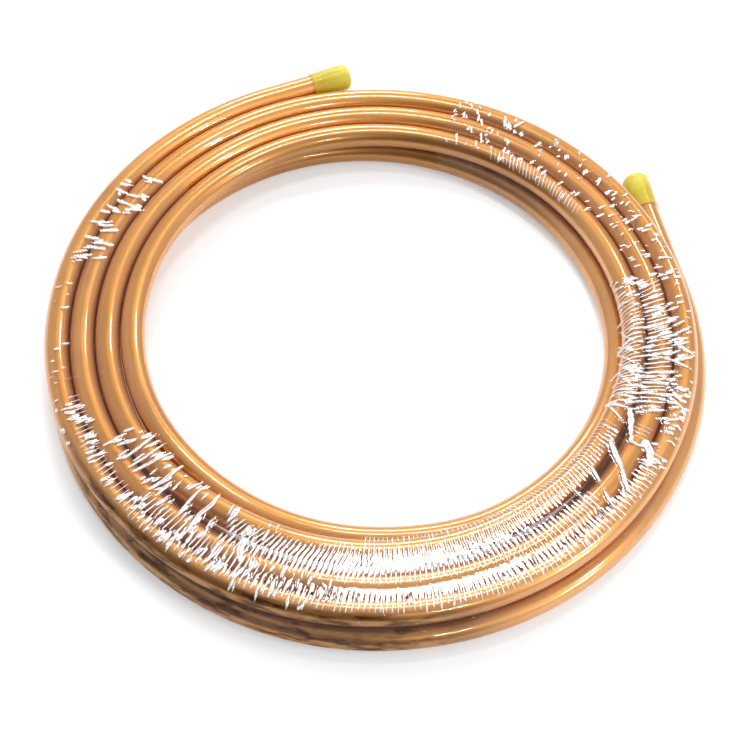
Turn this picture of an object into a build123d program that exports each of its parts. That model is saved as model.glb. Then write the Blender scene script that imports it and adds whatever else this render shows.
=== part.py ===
"""A bundle of soft copper tube: one tube wound in two flat layers, capped at both ends and wrapped in film.

The origin is on the floor, on the axis of the winding. Z is up and the front of the coil faces -Y.
The upper layer winds inwards, the tube crosses down inside, and the lower layer winds outwards.
"""
import os
from math import atan2, cos, degrees, radians, sin, sqrt

from build123d import *

# Tube, in millimetres
tube_od = 12.7
tube_wall = 0.89
turn_sides = 16
turn_gap = 0.1
layer_gap = 0.1

# Winding: radii are to the middle of the tube, angles are anticlockwise from +X seen from above
upper_turns = 4
lower_turns = 3
outer_radius = 169.5
upper_joint_angle = 104.5
upper_end_angle = 112.0
lower_end_angle = 13.5
crossing_start_angle = 250.0
crossing_end_angle = 20.0

# Free ends, which leave the winding straight, the lower one after a bend that lifts its cap off the floor
upper_lead = 25.0
lower_lead = 51.0
lift_length = 20.0
lift_angle = 2.0
bore_depth = 22.0

# Over-caps
cap_clearance = 0.15
cap_wall = 0.9
cap_end_wall = 1.8
cap_end_gap = 2.8
cap_rounding = 3.6
cap_overlap = 18.0

# Film sleeve, with a window where the lower free end stands out of the bundle
film_thickness = 0.3
film_clearance = 0.3
film_start_angle = 140.0
film_end_angle = 435.0
film_sections = 60
film_sides = 8
window_start_angle = 10.0
window_end_angle = 46.0
window_easing = 20.0
window_reach = 40.0

tube_radius = tube_od / 2
flat_side_up = 180 / turn_sides
bore_radius = tube_radius - tube_wall
turn_pitch = tube_od + turn_gap
half_pitch = turn_pitch / 2
layer_pitch = tube_od + layer_gap
lower_height = film_thickness + film_clearance + tube_radius
upper_height = lower_height + layer_pitch
middle_height = lower_height + layer_pitch / 2
cap_inner_radius = tube_radius + cap_clearance
cap_outer_radius = cap_inner_radius + cap_wall
cap_depth = cap_overlap + cap_end_gap
inner_stand_off = tube_radius + film_clearance
outer_stand_off = inner_stand_off + film_thickness

# Each layer is a half that keeps its radius and a half whose centre stands half a pitch aside,
# so every turn runs on into the next one without a step.
middle = Vector(0, 0, 0)
lower_joint_angle = 180.0
upper_step_centre = Vector(half_pitch, 0, 0).rotate(Axis.Z, upper_joint_angle)
lower_step_centre = Vector(half_pitch, 0, 0).rotate(Axis.Z, lower_joint_angle)
upper_step_radii = [outer_radius - half_pitch - turn_pitch * turn for turn in range(upper_turns)]
upper_round_radii = [outer_radius - turn_pitch * (turn + 1) for turn in range(upper_turns - 1)]
lower_round_radii = [outer_radius - half_pitch - turn_pitch * turn for turn in range(lower_turns)]
lower_step_radii = [outer_radius - turn_pitch * turn for turn in range(lower_turns + 1)]


def upright(angle, centre=middle):
    """The vertical plane that leaves a centre at an angle, with local x outwards and local y up."""
    outwards = Vector(1, 0, 0).rotate(Axis.Z, angle)
    return Plane(origin=centre, x_dir=outwards, z_dir=outwards.cross(Vector(0, 0, 1)))


def tube_point(angle, radius, height, centre=middle):
    """The middle of a tube that turns about a centre."""
    return centre + Vector(radius, 0, height).rotate(Axis.Z, angle)


def way_at(angle):
    """The level direction along a turn, anticlockwise."""
    return Vector(0, 1, 0).rotate(Axis.Z, angle)


def crossing_path():
    """Two tangent arcs from the inmost upper turn down to the inmost lower turn."""
    start = tube_point(crossing_start_angle, upper_step_radii[-1], upper_height, upper_step_centre)
    end = tube_point(crossing_end_angle, lower_step_radii[-1], lower_height, lower_step_centre)
    start_way = way_at(crossing_start_angle)
    end_way = way_at(crossing_end_angle)
    span = end - start
    along = span.dot(start_way + end_way)
    turned = 2 * (1 - start_way.dot(end_way))
    reach = (sqrt(along * along + turned * span.dot(span)) - along) / turned
    meeting = (start + start_way * reach + end - end_way * reach) * 0.5
    with BuildLine() as path:
        first = TangentArc(start, meeting, tangent=start_way)
        TangentArc(meeting, end, tangent=first % 1)
    return path.line


def lower_free_path():
    """The lower free end: a small bend upwards, then straight to the cut end."""
    start = tube_point(lower_end_angle, lower_step_radii[0], lower_height, lower_step_centre)
    way = way_at(lower_end_angle)
    with BuildLine(Plane(origin=start, x_dir=way, z_dir=way.cross(Vector(0, 0, 1)))) as path:
        lift = JernArc((0, 0), (1, 0), lift_length / radians(lift_angle), lift_angle)
        PolarLine(lift @ 1, lower_lead + cap_overlap - lift_length, lift_angle)
    return path.line


def tube_row(plane, radii, height, webbed=()):
    """Tube sections side by side, the webbed ones joined as far as the plane between the layers."""
    with BuildSketch(plane) as section:
        with Locations([(radius, height) for radius in radii]):
            RegularPolygon(tube_radius, turn_sides, major_radius=False, rotation=flat_side_up)
        if webbed:
            with Locations(((max(webbed) + min(webbed)) / 2, (height + middle_height) / 2)):
                Rectangle(max(webbed) - min(webbed), layer_pitch / 2)
    return section.sketch


crossing = crossing_path()
lower_free = lower_free_path()
upper_leave = Plane(
    origin=tube_point(upper_end_angle, upper_step_radii[0], upper_height, upper_step_centre),
    z_dir=-way_at(upper_end_angle),
)
upper_cut = upper_leave.offset(upper_lead + cap_overlap)
lower_cut = Plane(origin=lower_free @ 1, z_dir=lower_free % 1)
middle_axis = Axis(middle, (0, 0, 1))
upper_step_axis = Axis(upper_step_centre, (0, 0, 1))
lower_step_axis = Axis(lower_step_centre, (0, 0, 1))

with BuildPart() as copper_tube:
    # Upper layer, stepping in: the outermost turn starts where the free end leaves
    plane = upright(upper_end_angle, upper_step_centre)
    row = tube_row(plane, upper_step_radii[:1], upper_height)
    revolve(row, axis=upper_step_axis, revolution_arc=upper_joint_angle + 180 - upper_end_angle)
    plane = upright(upper_joint_angle, upper_step_centre)
    row = tube_row(plane, upper_step_radii[1:-1], upper_height, upper_step_radii[1:-1])
    revolve(row, axis=upper_step_axis, revolution_arc=180)
    row = tube_row(plane, upper_step_radii[-1:], upper_height)
    revolve(row, axis=upper_step_axis, revolution_arc=crossing_start_angle - upper_joint_angle)
    # Upper layer, round
    plane = upright(upper_joint_angle + 180)
    row = tube_row(plane, upper_round_radii, upper_height, upper_round_radii)
    revolve(row, axis=middle_axis, revolution_arc=180)
    # Crossing
    outwards = upright(crossing_start_angle).x_dir
    with BuildSketch(Plane(origin=crossing @ 0, x_dir=outwards, z_dir=crossing % 0)):
        RegularPolygon(tube_radius, turn_sides, major_radius=False, rotation=flat_side_up)
    sweep(path=crossing)
    # Lower layer, stepping out: the inmost turn starts at the crossing, the outermost ends at the free end
    plane = upright(crossing_end_angle, lower_step_centre)
    row = tube_row(plane, lower_step_radii[-1:], lower_height)
    revolve(row, axis=lower_step_axis, revolution_arc=lower_joint_angle - crossing_end_angle)
    plane = upright(lower_joint_angle - 180, lower_step_centre)
    row = tube_row(plane, lower_step_radii[1:-1], lower_height, lower_step_radii[1:-1])
    revolve(row, axis=lower_step_axis, revolution_arc=180)
    row = tube_row(plane, lower_step_radii[:1], lower_height)
    revolve(row, axis=lower_step_axis, revolution_arc=lower_end_angle + 180 - lower_joint_angle)
    # Lower layer, round
    plane = upright(lower_joint_angle)
    row = tube_row(plane, lower_round_radii, lower_height, lower_round_radii)
    revolve(row, axis=middle_axis, revolution_arc=180)
    # Free ends and their open bores
    with BuildSketch(upper_leave):
        Circle(tube_radius)
    extrude(amount=upper_lead + cap_overlap)
    with BuildSketch(Plane(origin=lower_free @ 0, z_dir=lower_free % 0)):
        Circle(tube_radius)
    sweep(path=lower_free)
    with BuildSketch(upper_cut, lower_cut):
        Circle(bore_radius)
    extrude(amount=-bore_depth, mode=Mode.SUBTRACT)


def over_cap(cut):
    """A cap pushed over a cut end as far as its overlap, closed by a rounded tip."""
    mouth = cut.offset(-cap_overlap)
    with BuildPart() as cap:
        with BuildSketch(mouth):
            Circle(cap_outer_radius)
        extrude(amount=cap_depth + cap_end_wall)
        along = Axis(mouth.origin, mouth.z_dir)
        fillet(cap.faces().sort_by(along)[-1].edges(), cap_rounding)
        with BuildPart(mode=Mode.SUBTRACT) as cavity:
            with BuildSketch(mouth):
                Circle(cap_inner_radius)
            extrude(amount=cap_depth)
            chamfer(cavity.faces().sort_by(along)[-1].edges(), cap_rounding - cap_wall)
    return cap.part


cap_upper_end = over_cap(upper_cut)
cap_lower_end = over_cap(lower_cut)


def shifted_radius(angle, step_radius, joint_angle):
    """How far a turn about a shifted centre is from the middle at an angle."""
    turned = radians(angle - joint_angle)
    return half_pitch * cos(turned) + sqrt(step_radius**2 - (half_pitch * sin(turned)) ** 2)


def upper_radius(angle, turn):
    """How far a turn of the upper layer is from the middle at an angle."""
    if (angle - upper_joint_angle) % 360 < 180:
        return shifted_radius(angle, upper_step_radii[turn], upper_joint_angle)
    return upper_round_radii[turn]


def lower_radius(angle, turn):
    """How far a turn of the lower layer is from the middle at an angle."""
    if (angle - lower_joint_angle) % 360 >= 180:
        return shifted_radius(angle, lower_step_radii[turn], lower_joint_angle)
    return lower_round_radii[turn]


def winding_angle(point):
    """The angle of a point from the middle, counted on from the lower joint."""
    return (degrees(atan2(point.Y, point.X)) - lower_joint_angle) % 360 + lower_joint_angle


def inmost_tube(angle):
    """How far out and how high the inmost tube is at an angle, crossing included."""
    if angle <= winding_angle(crossing @ 0):
        return Vector(upper_radius(angle, -1), upper_height)
    if angle >= winding_angle(crossing @ 1):
        return Vector(lower_radius(angle, -1), lower_height)
    low = 0.0
    high = 1.0
    for halving in range(30):
        here = (low + high) / 2
        point = crossing @ here
        if winding_angle(point) < angle:
            low = here
        else:
            high = here
    return Vector(Vector(point.X, point.Y, 0).length, point.Z)


def eased(angle, start, span, before, after):
    """A smooth change from one value to another over a span of angle."""
    share = min(max((angle - start) / span, 0.0), 1.0)
    share = share * share * (3 - 2 * share)
    return before + (after - before) * share


def wrapped_tubes(angle):
    """How far out and how high the tubes are, at an angle, that the film is drawn over."""
    lower_inner = lower_radius(angle, -1 if angle < lower_joint_angle + 180 else -2)
    upper_inner = upper_radius(angle, -2 if angle < upper_joint_angle + 180 else -1)
    outmost = lower_radius(angle, 1 if angle < lower_joint_angle else 0)
    lower_outer = eased(angle, window_start_angle + 360, window_easing, outmost, lower_radius(angle, 1))
    return [
        inmost_tube(angle),
        Vector(lower_inner, lower_height),
        Vector(lower_outer, lower_height),
        Vector(upper_radius(angle, 0), upper_height),
        Vector(upper_inner, upper_height),
    ]


def film_outline(tubes, stand_off):
    """Straight sides that face evenly all ways, each at a distance from the tube that stands out most."""
    turn = 360 / film_sides
    facings = [Vector(1, 0).rotate(Axis.Z, turn * side) for side in range(film_sides)]
    reaches = [max(tube.dot(facing) for tube in tubes) + stand_off for facing in facings]
    points = []
    for side, facing in enumerate(facings):
        next_reach = reaches[(side + 1) % film_sides]
        slide = (next_reach - reaches[side] * cos(radians(turn))) / sin(radians(turn))
        points.append(facing * reaches[side] + facing.rotate(Axis.Z, 90) * slide)
    return points


with BuildPart() as film_wrap:
    for number in range(film_sections):
        angle = film_start_angle + (film_end_angle - film_start_angle) * number / (film_sections - 1)
        with BuildSketch(upright(angle)):
            Polygon(film_outline(wrapped_tubes(angle), outer_stand_off), align=None)
            Polygon(film_outline(wrapped_tubes(angle), inner_stand_off), align=None, mode=Mode.SUBTRACT)
    loft(ruled=True)
    # The window, below the middle of the outermost upper turn
    with BuildSketch(upright(window_start_angle)):
        with Locations((upper_round_radii[0], 0)):
            Rectangle(window_reach, upper_height, align=(Align.MIN, Align.MIN))
    revolve(axis=middle_axis, revolution_arc=window_end_angle - window_start_angle, mode=Mode.SUBTRACT)

copper_tube.part.label = "copper_tube"
cap_upper_end.label = "cap_upper_end"
cap_lower_end.label = "cap_lower_end"
film_wrap.part.label = "film_wrap"

os.makedirs("parts", exist_ok=True)
export_step(copper_tube.part, "parts/copper_tube.step")
export_step(cap_upper_end, "parts/cap_upper_end.step")
export_step(cap_lower_end, "parts/cap_lower_end.step")
export_step(film_wrap.part, "parts/film_wrap.step")
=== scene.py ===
"""Dresses a bundle of soft copper tube: the wound tube, its two end caps and the clear film drawn over it.

The axis of the winding is the Z axis. Lengths are in metres. A winding angle counts on through all the turns,
anticlockwise from +X: it starts at the upper free end and ends, almost seven turns later, at the lower one.
"""

import bpy
import numpy as np
from mathutils import Matrix, Vector


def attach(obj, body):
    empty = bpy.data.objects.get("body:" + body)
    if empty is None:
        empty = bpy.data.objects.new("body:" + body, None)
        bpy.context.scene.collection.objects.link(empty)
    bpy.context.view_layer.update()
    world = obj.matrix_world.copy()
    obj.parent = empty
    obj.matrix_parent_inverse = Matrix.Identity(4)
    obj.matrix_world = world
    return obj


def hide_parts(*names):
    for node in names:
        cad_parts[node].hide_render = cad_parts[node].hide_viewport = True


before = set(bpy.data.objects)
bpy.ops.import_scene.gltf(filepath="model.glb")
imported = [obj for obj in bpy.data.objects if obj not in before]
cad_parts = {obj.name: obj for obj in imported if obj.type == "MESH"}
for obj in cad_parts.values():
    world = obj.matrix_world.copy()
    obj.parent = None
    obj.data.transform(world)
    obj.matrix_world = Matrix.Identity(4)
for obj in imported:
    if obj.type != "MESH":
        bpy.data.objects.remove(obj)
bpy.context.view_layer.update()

bl_info = {
    "name": "Copper Tube Coil",
    "version": (1, 0, 0),
    "blender": (4, 5, 0),
    "location": "View3D > Sidebar > Tube Coil",
    "description": "Builds a film-wrapped coil of soft copper tube with capped ends",
    "category": "Add Mesh",
}

MM = 0.001
FULL = 2 * np.pi
# Radius in mm at which angles along the film count as lengths.
MEAN_RADIUS = 150
# Spacing of the points on a free end.
LINE_STEP = 0.25 * MM
# How far aside a millimetre of drop counts, where the film goes down over the outermost and the innermost turn.
DROP_ASIDE = 0.637

# How the tube lies off its even spiral, as (winding angle in degrees, value) pairs.
# The third turn lies further in at the front, and the fourth settles beside it, in mm.
DRIFT = (
    (925, 0.0), (963, -5.0), (1020, -4.6), (1050, -3.0), (1085, 0.0),
    (1280, 0.0), (1323, -3.6), (1350, -3.3), (1380, -2.8), (1461, 0.0),
)
# How far the fourth turn has sunk from the upper layer to the lower one, from 0 to 1.
SINK = ((1280, 0.0), (1323, 0.58), (1350, 0.58), (1385, 0.78), (1430, 1.0))
# How far it has passed from the upper layer's spiral to the lower layer's.
ACROSS = ((1328, 0.0), (1461, 1.0))

# Fine ridges across the film, side by side: from and to angle in degrees, from and to distance in mm,
# lean in mm sideways for each mm across, and how strong they are.
COMBS = (
    (234, 334, 149.6, 160.4, 0.05, 1.0),
    (236, 302, 137.4, 145.8, 0.12, 0.95),
    (296, 320, 137.2, 148.4, -0.05, 1.0),
    (236, 274, 128.8, 139.2, 0.45, 1.0),
    (256, 336, 125.0, 133.6, 0.10, 1.0),
    (288, 337, 120.8, 127.0, -0.15, 0.85),
    (264, 328, 116.4, 124.0, 0.05, 0.95),
    (336, 373, 122.0, 134.8, -0.45, 1.0),
    (337, 374, 135.6, 149.0, -0.30, 1.0),
    (194, 240, 152.0, 162.0, -0.10, 0.8),
    (220, 254, 144.4, 154.8, 0.05, 0.95),
    (330, 338, 138.0, 148.0, 0.05, 1.0),
    (392, 425, 124.6, 133.4, -0.45, 0.9),
)

# Single folds that catch the light: half width in mm, then the (angle in degrees, distance in mm) points they follow.
FOLDS = (
    (0.55, ((213.7, 147.0), (213.0, 137.0), (211.9, 126.0))),
    (0.46, ((215.8, 147.5), (215.6, 136.0), (214.9, 125.0))),
    (0.63, ((217.0, 147.0), (217.4, 136.0), (217.6, 125.0))),
    (0.77, ((222.0, 146.5), (222.4, 138.0), (221.8, 123.5))),
    (0.50, ((222.8, 144.0), (224.2, 137.5))),
    (0.46, ((229.8, 145.0), (229.3, 134.0), (229.2, 122.0))),
    (0.81, ((233.4, 148.0), (233.0, 138.0), (233.6, 130.0), (232.9, 122.0))),
    (1.29, ((238.8, 131.5), (238.6, 124.0))),
    (1.20, ((245.0, 148.5), (243.8, 143.0), (243.4, 137.0))),
    (0.67, ((243.6, 135.5), (243.4, 131.0))),
    (0.67, ((252.4, 158.0), (252.0, 151.5))),
    (0.42, ((317.2, 154.0), (318.0, 148.0), (319.0, 143.5))),
    (0.73, ((321.4, 154.5), (323.0, 148.5), (325.0, 144.0))),
    (0.98, ((324.8, 144.5), (326.8, 138.0), (329.4, 131.5))),
    (0.55, ((319.6, 140.5), (321.6, 131.5))),
    (0.39, ((314.6, 138.5), (314.9, 132.0))),
    (1.29, ((328.0, 155.0), (330.8, 151.5), (332.4, 147.5), (331.0, 145.5))),
    (0.61, ((331.0, 145.8), (331.2, 141.0), (334.0, 138.0))),
    (0.98, ((333.0, 138.6), (336.0, 136.2), (338.8, 133.2))),
    (0.42, ((334.8, 133.5), (336.4, 127.0), (338.6, 118.5))),
    (0.36, ((341.3, 161.0), (343.8, 150.0), (343.2, 139.0), (341.6, 128.0))),
    (0.36, ((342.8, 158.5), (346.6, 147.0))),
    (0.42, ((350.4, 160.5), (352.0, 150.0), (352.6, 138.0), (351.6, 130.0))),
    (0.42, ((353.6, 160.5), (355.0, 155.0), (357.2, 149.0))),
    (0.39, ((343.6, 133.5), (345.4, 127.0), (348.0, 120.0))),
    (0.39, ((346.6, 133.0), (348.6, 126.0), (351.0, 118.8))),
    (0.39, ((349.8, 131.5), (351.4, 125.0), (353.6, 118.0))),
    (0.39, ((352.8, 131.0), (354.2, 124.5), (356.2, 117.2))),
    (0.36, ((355.8, 130.5), (357.6, 124.0), (360.0, 120.5))),
    (0.85, ((147.5, 151.5), (148.6, 147.6))),
    (0.85, ((151.6, 151.5), (150.2, 146.4))),
    (0.59, ((159.2, 158.5), (157.6, 149.2))),
    (0.50, ((153.2, 163.5), (153.4, 156.0))),
    (0.50, ((161.4, 164.5), (161.0, 156.5))),
    (0.42, ((376.0, 157.5), (376.6, 152.5))),
    (0.42, ((383.4, 156.0), (383.6, 151.5))),
    (0.42, ((387.0, 157.0), (387.6, 152.0))),
    (0.42, ((419.6, 158.5), (420.8, 151.0))),
    (0.36, ((413.8, 150.0), (414.4, 145.0))),
    (0.48, ((418.8, 129.0), (419.4, 125.0))),
    (0.85, ((202.4, 169.0), (203.6, 166.5))),
    (0.67, ((205.2, 168.6), (206.0, 166.8))),
    (0.67, ((198.4, 168.6), (199.2, 167.4))),
)

# Small folds at random: from and to angle, from and to distance, how many, their length, lean and half width.
FLURRIES = (
    (143, 166, 148, 164, 30, 6.5, -0.3, 0.34),
    (166, 200, 158, 168, 22, 2.4, -0.2, 0.24),
    (198, 238, 152, 161, 64, 3.4, 0.1, 0.42),
    (208, 250, 124, 150, 70, 4.6, 0.0, 0.42),
    (232, 262, 144, 162, 60, 4.5, 0.1, 0.38),
    (262, 335, 150, 160, 40, 2.2, 0.1, 0.30),
    (328, 348, 150, 161, 40, 3.0, -0.4, 0.40),
    (338, 362, 118, 160, 100, 6.0, -0.4, 0.36),
    (358, 374, 122, 160, 60, 4.0, -0.4, 0.34),
    (372, 398, 134, 160, 60, 3.0, -0.2, 0.22),
    (398, 434, 126, 160, 90, 3.2, -0.4, 0.23),
)


def eased(share):
    """Three times the share squared less twice its cube, so it starts and ends level."""
    share = np.clip(share, 0, 1)
    return share * share * (3 - 2 * share)


def over(value, start, end):
    """The eased share of the way from one value to another, which may be the lower one."""
    return eased((value - start) / (end - start))


def keyed(angle, keys):
    """The value at a winding angle, eased from each pair of keys to the next."""
    at, value = np.array(keys, float).T
    at = np.radians(at)
    step = np.clip(np.searchsorted(at, angle, side="right") - 1, 0, len(at) - 2)
    share = eased((angle - at[step]) / (at[step + 1] - at[step]))
    return value[step] + (value[step + 1] - value[step]) * share


def soft_noise(x, y, seed):
    """Random values from 0 to 1 on a lattice of whole numbers, eased between its corners."""
    table = np.random.default_rng(seed).random((64, 64))
    column, row = np.floor(x).astype(int), np.floor(y).astype(int)
    across, along = eased(x - column), eased(y - row)
    near = table[column % 64, row % 64] * (1 - across) + table[(column + 1) % 64, row % 64] * across
    far = table[column % 64, (row + 1) % 64] * (1 - across) + table[(column + 1) % 64, (row + 1) % 64] * across
    return near * (1 - along) + far * along


def bearing(angle):
    """The level direction at an angle, as an array that ends in x, y, z."""
    return np.stack([np.cos(angle), np.sin(angle), np.zeros_like(angle)], -1)


# The winding

def beside(turned, radius, half):
    """Distance from the middle to a circle whose centre stands half a pitch aside, by the law of cosines."""
    return half * np.cos(turned) + np.sqrt(radius**2 - (half * np.sin(turned)) ** 2)


def upper_radius(coil, angle):
    """Half of each upper turn keeps its radius, and the other half turns about a centre that stands aside."""
    turn, turned = np.divmod(angle - coil.upper_joint, FULL)
    stepping = beside(turned, coil.outer_radius - coil.pitch / 2 - coil.pitch * turn, coil.pitch / 2)
    return np.where(turned < np.pi, stepping, coil.outer_radius - coil.pitch * (turn + 1))


def lower_radius(coil, angle):
    """As the upper turns, but each turn is a pitch wider than the one before, and the last one is outermost."""
    turn, turned = np.divmod(angle - np.pi, FULL)
    widest = coil.outer_radius - coil.pitch * (6 - turn)
    return np.where(turned < np.pi, widest - coil.pitch / 2, beside(turned, widest, coil.pitch / 2))


def winding_radius(coil, angle):
    """The upper spiral, eased over to the lower one at the crossing, with the tube's drift off both.

    The waver is two sines of three and seven waves a turn, which fade out before the free ends.
    """
    share = keyed(angle, ACROSS)
    spiral = upper_radius(coil, angle) * (1 - share) + lower_radius(coil, angle) * share
    waver = coil.waver * (np.sin(3 * angle + 0.6) + 0.6 * np.sin(7 * angle + 2.0)) / 1.6
    start, end = winding_ends(coil)
    settled = over(angle, start, start + 0.8) * over(angle, end, end - 0.8)
    return spiral + keyed(angle, DRIFT) * MM + waver * settled


def winding_height(coil, angle):
    """The upper layer's height less what the tube has sunk."""
    return coil.upper_height - coil.layer_pitch * keyed(angle, SINK)


def shading_on_tube(coil, points):
    """How much painted shade each point of the tube gets in the grooves, and how much painted dark reflection and
    shade it gets, both from 0 to 1.

    The shade in the grooves is painted where the next turn is near: one less the eased share of the room to it. The
    painted dark reflection is at the front left, on the outward side of the outermost turn of each layer, and painted
    shade, fainter, is at the back on the inward side.
    """
    groove_room, touching, edge = 1.7 * MM, 0.08 * MM, 4 * MM
    distance, angle = np.hypot(points[:, 0], points[:, 1]), np.arctan2(points[:, 1], points[:, 0])
    start, end = winding_ends(coil)
    turn = angle[:, None] + FULL * np.arange(-1, 8)
    radius, height = winding_radius(coil, turn), winding_height(coil, turn)
    room = np.hypot(distance[:, None] - radius, points[:, 2:] - height) - coil.tube_radius
    room = np.where((turn < start) | (turn > end), 1, room)
    own_height = np.take_along_axis(height, room.argmin(1)[:, None], 1)
    beside_it = (np.abs(height - own_height) < coil.tube_radius) & (room < 1)
    outermost = np.where(beside_it, radius, 0).max(1)
    innermost = np.where(beside_it, radius, 1).min(1)
    room = np.sort(room, 1)
    room = np.where(room[:, 0] < touching, room[:, 1], room[:, 0])

    # Painted dark reflection on the outward side at the front left, and painted shade on the inward side at the back.
    degrees = np.degrees(angle) % 360
    lower = own_height[:, 0] < coil.upper_height - coil.layer_pitch / 2
    outward = eased((distance - outermost - np.where(lower, -edge, 0.5 * MM)) / edge)
    outward = outward * over(degrees, 196, 220) * over(degrees, 300, 270)
    inward = eased((innermost + np.where(lower, edge, 0.0) - distance) / edge)
    inward = inward * over(degrees, 20, 60) * over(degrees, 150, 110)
    # Comes back as the painted shade in the grooves and the painted dark reflection and shade.
    return 1 - eased(room / groove_room), np.maximum(outward, coil.inner_shade * inward)


def leaving_points(coil):
    """Where the two free ends leave the winding, and the level ways that they then take."""
    joint = np.array(coil.upper_joint)
    upper = coil.pitch / 2 * bearing(joint)
    upper = upper + (coil.outer_radius - coil.pitch / 2) * bearing(np.array(coil.upper_leave))
    lower = coil.pitch / 2 * bearing(np.array(np.pi)) + coil.outer_radius * bearing(np.array(coil.lower_leave))
    upper[2], lower[2] = coil.upper_height, coil.upper_height - coil.layer_pitch
    upper_way = bearing(np.array(coil.upper_leave - np.pi / 2))
    lower_way = bearing(np.array(coil.lower_leave + np.pi / 2))
    return upper, upper_way, lower, lower_way


def winding_ends(coil):
    """The winding angles at which the free ends leave."""
    upper, _, lower, _ = leaving_points(coil)
    return np.arctan2(upper[1], upper[0]), np.arctan2(lower[1], lower[0]) + 7 * FULL


def centre_line(coil):
    """Points a fraction of a millimetre apart along the middle of the tube, from the upper cut end to the lower one.

    The upper end is straight. The lower one follows an arc that lifts it, and is then straight.
    """
    upper, upper_way, lower, lower_way = leaving_points(coil)
    start, end = winding_ends(coil)
    angle = np.linspace(start, end, 24000)
    turns = winding_radius(coil, angle)[:, None] * bearing(angle)
    turns[:, 2] = winding_height(coil, angle)
    back = np.arange(coil.upper_free, 0, -LINE_STEP)
    ahead = np.arange(LINE_STEP, coil.lower_free + 0.1 * MM, LINE_STEP)
    radius = coil.lift_length / coil.lift_angle
    bent = np.minimum(ahead, coil.lift_length)
    straight = ahead - bent
    level = radius * np.sin(bent / radius) + straight * np.cos(coil.lift_angle)
    lifted = radius * (1 - np.cos(bent / radius)) + straight * np.sin(coil.lift_angle)
    tail = lower + level[:, None] * lower_way + lifted[:, None] * np.array([0.0, 0.0, 1.0])
    return np.concatenate([upper + back[:, None] * upper_way, turns, tail])


def unit(vectors):
    """Each vector over its own length."""
    return vectors / np.linalg.norm(vectors, axis=-1, keepdims=True)


def frames(ways):
    """For each way: the level direction to its right, and the one that completes the three."""
    right = unit(np.cross(ways, [0.0, 0.0, 1.0]))
    return right, np.cross(right, ways)


def carried(centres, ways, radii, sides):
    """Rings of a round section carried along a line: centre + radius (right cos a + up sin a)."""
    right, up = frames(ways)
    turn = np.linspace(0, FULL, sides, endpoint=False)
    spoke = right[:, None] * np.cos(turn)[:, None] + up[:, None] * np.sin(turn)[:, None]
    return centres[:, None] + radii[:, None, None] * spoke


def ring_faces(rows, columns, closed=True):
    """The quads between neighbouring rows of a grid, facing outwards, with its columns closed into a ring or open."""
    row, column = np.meshgrid(np.arange(rows - 1), np.arange(columns if closed else columns - 1), indexing="ij")
    beside_it = (column + 1) % columns
    corners = (row * columns + column, (row + 1) * columns + column,
               (row + 1) * columns + beside_it, row * columns + beside_it)
    return np.stack(corners, -1).reshape(-1, 4)


def pole_faces(pole, first, columns, at_start):
    """A fan from a pole to the ring whose first point is given."""
    column = np.arange(columns)
    here, beside_it = first + column, first + (column + 1) % columns
    pair = (here, beside_it) if at_start else (beside_it, here)
    return np.stack([np.full(columns, pole), *pair], -1)


def new_piece(name, points, faces, values, material, nodes):
    """Puts points, arrays of faces and named point values into a smooth mesh that stands for CAD nodes."""
    mesh = bpy.data.meshes.new(name)
    corners = np.concatenate([group.ravel() for group in faces]).astype(np.int32)
    totals = np.concatenate([np.full(len(group), group.shape[1]) for group in faces]).astype(np.int32)
    starts = np.concatenate([[0], np.cumsum(totals)[:-1]]).astype(np.int32)
    mesh.vertices.add(len(points))
    mesh.vertices.foreach_set("co", points.astype(np.float32).ravel())
    mesh.loops.add(len(corners))
    mesh.loops.foreach_set("vertex_index", corners)
    mesh.polygons.add(len(totals))
    mesh.polygons.foreach_set("loop_start", starts)
    mesh.polygons.foreach_set("loop_total", totals)
    mesh.polygons.foreach_set("use_smooth", np.ones(len(totals), bool))
    for label, array in values.items():
        kind, field = ("FLOAT_VECTOR", "vector") if array.ndim == 2 else ("FLOAT", "value")
        layer = mesh.attributes.new(label, kind, "POINT")
        layer.data.foreach_set(field, array.astype(np.float32).ravel())
    mesh.update(calc_edges=True)
    if mesh.validate():
        raise ValueError(f"{name} had faces that don't hold together")
    mesh.materials.append(material)
    piece = bpy.data.objects.new(name, mesh)
    bpy.context.scene.collection.objects.link(piece)
    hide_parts(*nodes)
    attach(piece, "root")
    return piece


def closed_along(rings):
    """The points and faces of rings whose first and last have shrunk to a point each."""
    inner = rings[1:-1]
    rows, columns = inner.shape[:2]
    points = np.concatenate([inner.reshape(-1, 3), rings[0, :1], rings[-1, :1]])
    faces = [
        ring_faces(rows, columns),
        pole_faces(rows * columns, 0, columns, True),
        pole_faces(rows * columns + 1, (rows - 1) * columns, columns, False),
    ]
    return points, faces


# The film

def film_tubes(coil, film, angle):
    """How far out and how high each tube is at an angle, and whether the film is drawn over it there.

    Where the lower free end leaves, the film is drawn in from the outermost turn to the next one.
    """
    start, end = winding_ends(coil)
    turn = angle[:, None] + FULL * np.arange(7)
    radius, height = winding_radius(coil, turn), winding_height(coil, turn)
    drawn_in = eased((angle - film.window_start) / film.window_easing)
    radius[:, 6] = lower_radius(coil, turn[:, 6]) * (1 - drawn_in) + lower_radius(coil, turn[:, 5]) * drawn_in
    there = (turn >= start) & ((turn <= end) | (np.arange(7) == 6))
    return radius, height, there


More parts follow.
